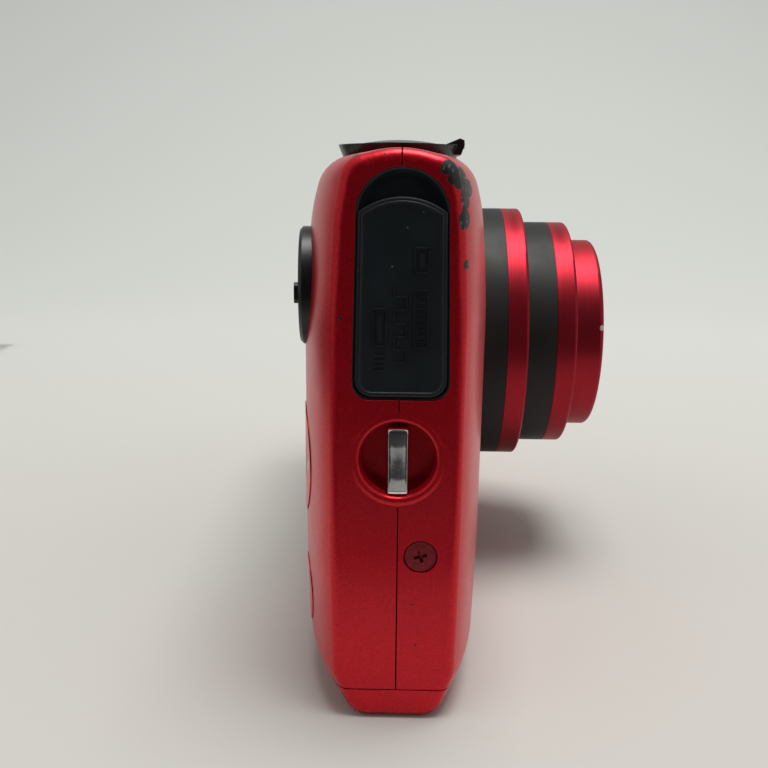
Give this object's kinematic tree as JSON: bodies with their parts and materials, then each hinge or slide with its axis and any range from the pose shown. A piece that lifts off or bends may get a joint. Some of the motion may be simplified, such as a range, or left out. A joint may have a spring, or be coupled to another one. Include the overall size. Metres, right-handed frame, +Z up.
{
  "type": "compact digital camera",
  "caption": "Slim red compact camera with a three-stage zoom lens run out, a rubber port door, strap bar, zoom lever, rear screen and controls.",
  "frame": {"origin": "mouth of the tripod socket, in the middle of the bottom face", "axes": "+X to the far end, with the grip end at -X, +Y to the user and -Y to the subject along the lens, +Z up"},
  "size_m": [0.0873, 0.0369, 0.0558],
  "materials": {
    "red_paint": "satin metallic red paint on pressed metal",
    "red_anodised": "satin red anodised, turned",
    "black_barrel": "fine satin black",
    "rubber_black": "soft matt black rubber",
    "black_gloss": "gloss black",
    "black_matte": "moulded matt black",
    "chrome": "polished chrome plate",
    "steel": "stamped steel",
    "aluminium": "pressed aluminium",
    "glass_clear": "coated optical glass",
    "screen_glass": "dark screen window",
    "display": "display panel",
    "board_green": "printed circuit board",
    "brass": "plated contact metal",
    "cell_wrap": "cell wrap",
    "ceramic_white": "white reflector and sleeve",
    "gear_white": "natural acetal gear plastic"
  },
  "bodies": {
    "root": {"front_shell": "red_paint", "rear_shell": "red_paint", "bottom_cover": "red_paint", "battery": "cell_wrap", "battery_bay": "black_matte", "battery_contacts": "brass", "av_socket": "steel", "hdmi_socket": "steel", "button_board": "board_green", "card_slot": "steel", "case_screws": "red_paint", "chassis_plate": "steel", "display_panel": "display", "dome_sheet": "rubber_black", "door_pin": "steel", "fixed_tube": "black_matte", "flash_capacitor": "aluminium", "flash_lamp": "ceramic_white", "flash_window": "glass_clear", "focus_lamp": "glass_clear", "focus_rails": "steel", "image_sensor": "ceramic_white", "lens_bezel": "black_matte", "main_board": "board_green", "memory_card": "black_matte", "microphone": "aluminium", "port_tray": "black_matte", "screen_window": "screen_glass", "sensor_plate": "steel", "speaker": "aluminium", "strap_bar": "chrome", "top_board": "board_green", "tripod_socket": "steel", "zoom_motor": "aluminium"},
    "outer": {"outer_barrel": "black_barrel", "outer_trim_ring": "red_anodised"},
    "middle": {"middle_barrel": "black_barrel", "middle_trim_ring": "red_anodised"},
    "inner": {"inner_barrel": "red_anodised", "front_ring": "black_gloss", "front_lens": "glass_clear", "shutter_unit": "black_matte", "zoom_group": "glass_clear"},
    "blade_up": {"upper_blade": "black_matte"},
    "blade_low": {"lower_blade": "black_matte"},
    "cam": {"cam_ring": "black_matte"},
    "pinion": {"zoom_pinion": "gear_white"},
    "focus": {"focus_carriage": "black_matte"},
    "lever": {"zoom_lever": "black_gloss"},
    "shutter": {"shutter_button": "black_gloss"},
    "power": {"power_button": "black_gloss"},
    "mode": {"mode_switch": "black_matte"},
    "gimbal": {"pad_gimbal": "black_matte"},
    "pad": {"control_pad": "red_anodised"},
    "set": {"set_button": "red_anodised"},
    "menu": {"menu_button": "red_anodised"},
    "playback": {"playback_button": "red_anodised"},
    "hatch": {"battery_door": "red_paint"},
    "latch": {"door_latch": "black_matte"},
    "flap": {"port_door": "rubber_black"}
  },
  "joints": [
    {"name": "outer_slide", "type": "slide", "parent": "root", "child": "outer", "axis": [0, 1, 0], "range_m": [0, 0.0072]},
    {"name": "middle_slide", "type": "slide", "parent": "outer", "child": "middle", "axis": [0, 1, 0], "range_m": [0, 0.0059]},
    {"name": "inner_slide", "type": "slide", "parent": "middle", "child": "inner", "axis": [0, 1, 0], "range_m": [0, 0.0034]},
    {"name": "cam_spin", "type": "hinge", "parent": "root", "child": "cam", "pos_m": [0.0064, 0, 0.0307], "axis": [0, 1, 0], "range_deg": [0, 75.1]},
    {"name": "pinion_spin", "type": "hinge", "parent": "root", "child": "pinion", "pos_m": [0.02235, 0, 0.01476], "axis": [0, 1, 0], "range_deg": [-600.5, 0]},
    {"name": "upper_blade_swing", "type": "hinge", "parent": "inner", "child": "blade_up", "pos_m": [0.0166, -0.02475, 0.0307], "axis": [0, -1, 0], "range_deg": [0, 35.1]},
    {"name": "lower_blade_swing", "type": "hinge", "parent": "inner", "child": "blade_low", "pos_m": [-0.0038, -0.02475, 0.0307], "axis": [0, -1, 0], "range_deg": [0, 35.1]},
    {"name": "focus_slide", "type": "slide", "parent": "root", "child": "focus", "axis": [0, -1, 0], "range_m": [0, 0.0012]},
    {"name": "zoom_lever_turn", "type": "hinge", "parent": "root", "child": "lever", "pos_m": [-0.0275, 0.0003, 0.0548], "axis": [0, 0, 1], "range_deg": [-18, 18], "stiffness_Nm_per_rad": 0.01},
    {"name": "shutter_press", "type": "slide", "parent": "root", "child": "shutter", "axis": [0, 0, -1], "range_m": [0, 0.0006], "stiffness_N_per_m": 900},
    {"name": "power_press", "type": "slide", "parent": "root", "child": "power", "axis": [0, 0, -1], "range_m": [0, 0.0003], "stiffness_N_per_m": 1500},
    {"name": "mode_turn", "type": "hinge", "parent": "root", "child": "mode", "pos_m": [-0.0322, 0.00972, 0.0413], "axis": [-0.0558, 0.9984, 0], "range_deg": [-25, 25]},
    {"name": "pad_rock_updown", "type": "hinge", "parent": "root", "child": "gimbal", "pos_m": [-0.03232, 0.0081, 0.0236], "axis": [-0.9934, -0.115, 0], "range_deg": [-2.5, 2.5], "stiffness_Nm_per_rad": 0.2},
    {"name": "pad_rock_sideways", "type": "hinge", "parent": "gimbal", "child": "pad", "pos_m": [-0.03232, 0.0081, 0.0236], "axis": [0, 0, 1], "range_deg": [-2.5, 2.5], "stiffness_Nm_per_rad": 0.2},
    {"name": "set_press", "type": "slide", "parent": "root", "child": "set", "axis": [0.115, -0.9934, 0], "range_m": [0, 0.0005], "stiffness_N_per_m": 900},
    {"name": "menu_press", "type": "slide", "parent": "root", "child": "menu", "axis": [0.1407, -0.99, 0], "range_m": [0, 0.0005], "stiffness_N_per_m": 900},
    {"name": "playback_press", "type": "slide", "parent": "root", "child": "playback", "axis": [0.0001, -1, 0], "range_m": [0, 0.0005], "stiffness_N_per_m": 900},
    {"name": "battery_door_swing", "type": "hinge", "parent": "root", "child": "hatch", "pos_m": [-0.0255, -0.0041, 0.00097], "axis": [-1, 0, 0], "range_deg": [0, 100]},
    {"name": "latch_slide", "type": "slide", "parent": "hatch", "child": "latch", "axis": [1, 0, 0], "range_m": [0, 0.0019]},
    {"name": "port_door_swing", "type": "hinge", "parent": "root", "child": "flap", "pos_m": [-0.04372, -0.00012, 0.03245], "axis": [0, -1, 0], "range_deg": [0, 110]}
  ],
  "couplings": [
    {"joint": "middle_slide", "follows": "outer_slide", "ratio": 0.81936},
    {"joint": "inner_slide", "follows": "outer_slide", "ratio": 0.47218},
    {"joint": "cam_spin", "follows": "outer_slide", "rad_per_m": 181.81},
    {"joint": "pinion_spin", "follows": "outer_slide", "rad_per_m": -1454.4},
    {"joint": "upper_blade_swing", "follows": "outer_slide", "rad_per_m": 84.842},
    {"joint": "lower_blade_swing", "follows": "outer_slide", "rad_per_m": 84.842}
  ]
}
